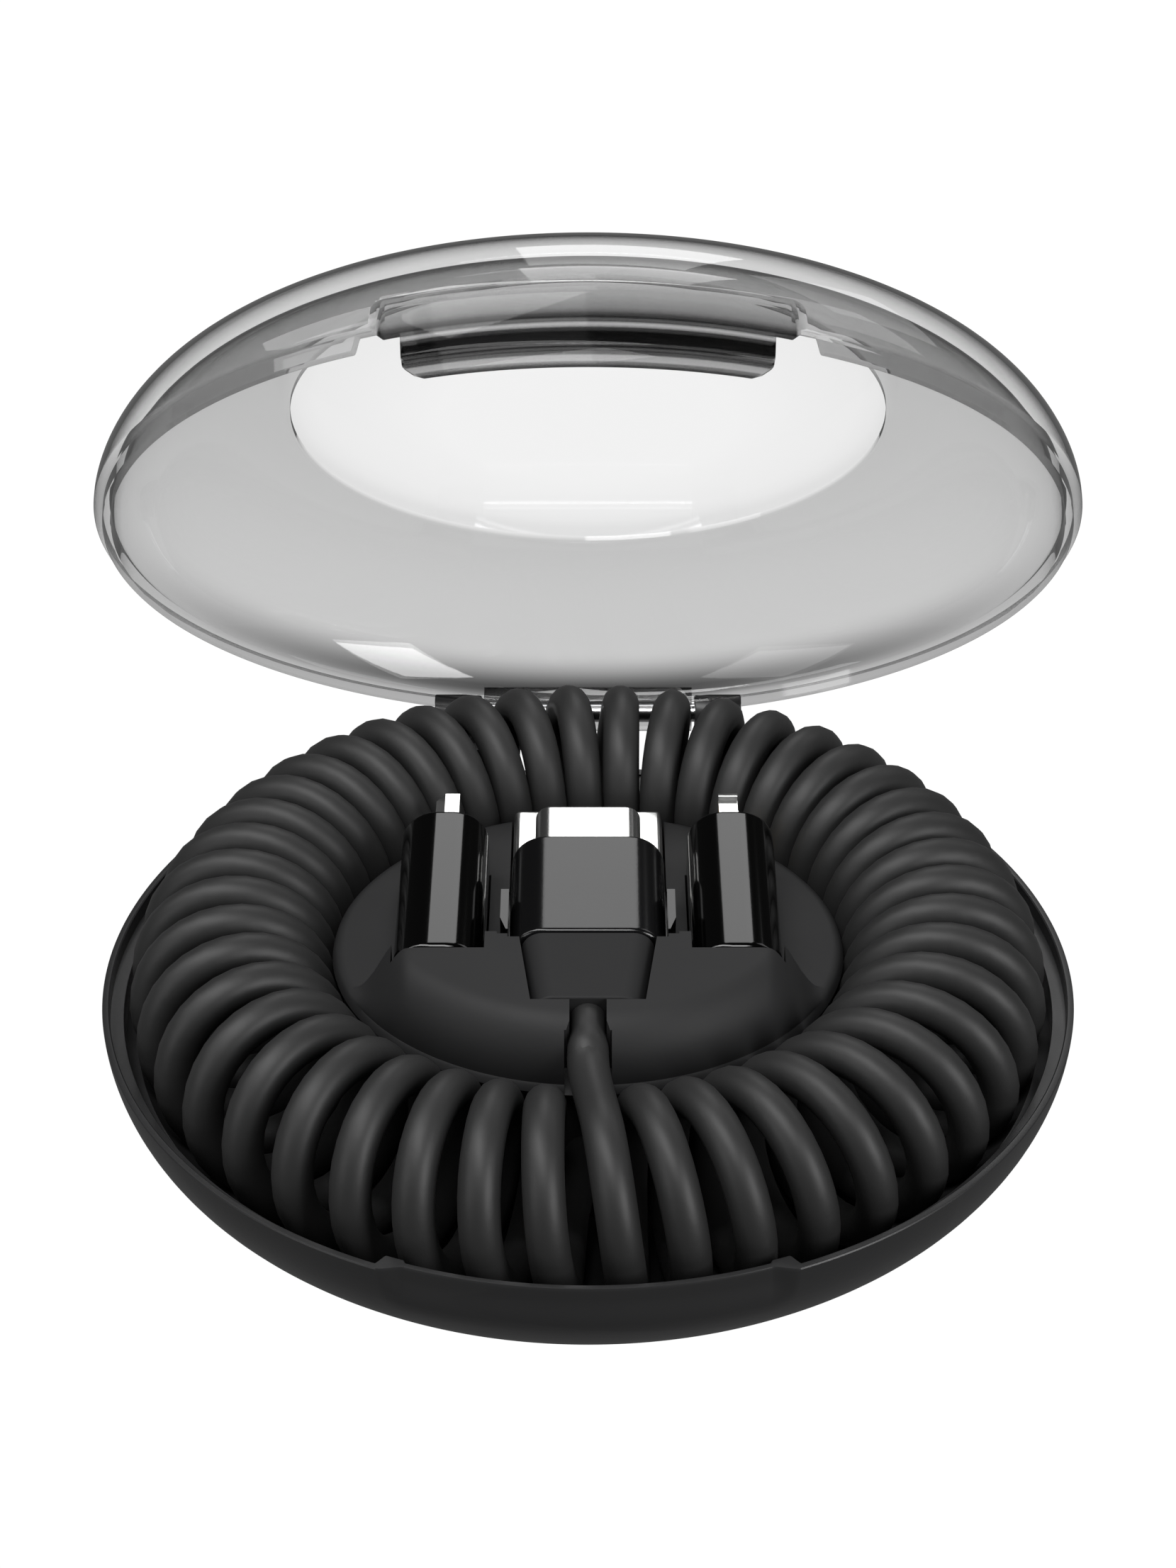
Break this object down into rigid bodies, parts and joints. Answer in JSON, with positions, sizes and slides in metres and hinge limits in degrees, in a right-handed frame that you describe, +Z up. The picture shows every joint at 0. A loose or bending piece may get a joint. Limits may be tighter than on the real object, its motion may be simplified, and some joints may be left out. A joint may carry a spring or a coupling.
{
  "type": "multi-connector charging cable",
  "caption": "Round pocket case with a clear hinged lid that holds a tightly coiled charging cord, its plugs and slide-on adapters in a central hub.",
  "frame": {"origin": "centre of the flat foot under the case, on the surface that it stands on", "axes": "+Z up out of the open bottom half, +Y towards the hinge, +X to the right as seen from the latch"},
  "size_m": [0.075, 0.0787, 0.0731],
  "materials": {
    "black_gloss": "glossy, slightly soft moulded surface",
    "black_satin": "satin",
    "relief_rubber": "matt",
    "cord_jacket": "satin flexible jacket",
    "plug_metal": "bright plated sheet",
    "gold_contact": "bright plated contacts",
    "insulator": "pale moulded plastic",
    "steel": "bright pin",
    "clear_plastic": "clear, polished"
  },
  "bodies": {
    "case": {"case_bottom": "black_gloss", "hub": "black_satin", "hinge_pin": "steel", "cord_coil": "cord_jacket", "cord_lead": "cord_jacket", "cord_neck": "cord_jacket", "cord_tail": "cord_jacket", "type_c_shell": "plug_metal", "type_c_insert": "black_satin", "type_c_body": "black_satin", "type_c_relief": "relief_rubber", "type_a_shell": "plug_metal", "type_a_insert": "insulator", "type_a_contacts": "gold_contact", "type_a_body": "black_satin", "type_a_relief": "relief_rubber", "micro_shell": "plug_metal", "micro_insert": "black_satin", "micro_body": "black_gloss", "micro_socket": "plug_metal", "slim_tab": "plug_metal", "slim_contacts": "gold_contact", "slim_body": "black_gloss", "slim_socket": "plug_metal"},
    "lid": {"lid": "clear_plastic"}
  },
  "joints": [
    {"name": "lid_hinge", "type": "hinge", "parent": "case", "child": "lid", "pos_m": [0, 0.0386, 0.011], "axis": [-1, 0, 0], "range_deg": [-52.3, 57.7]}
  ]
}
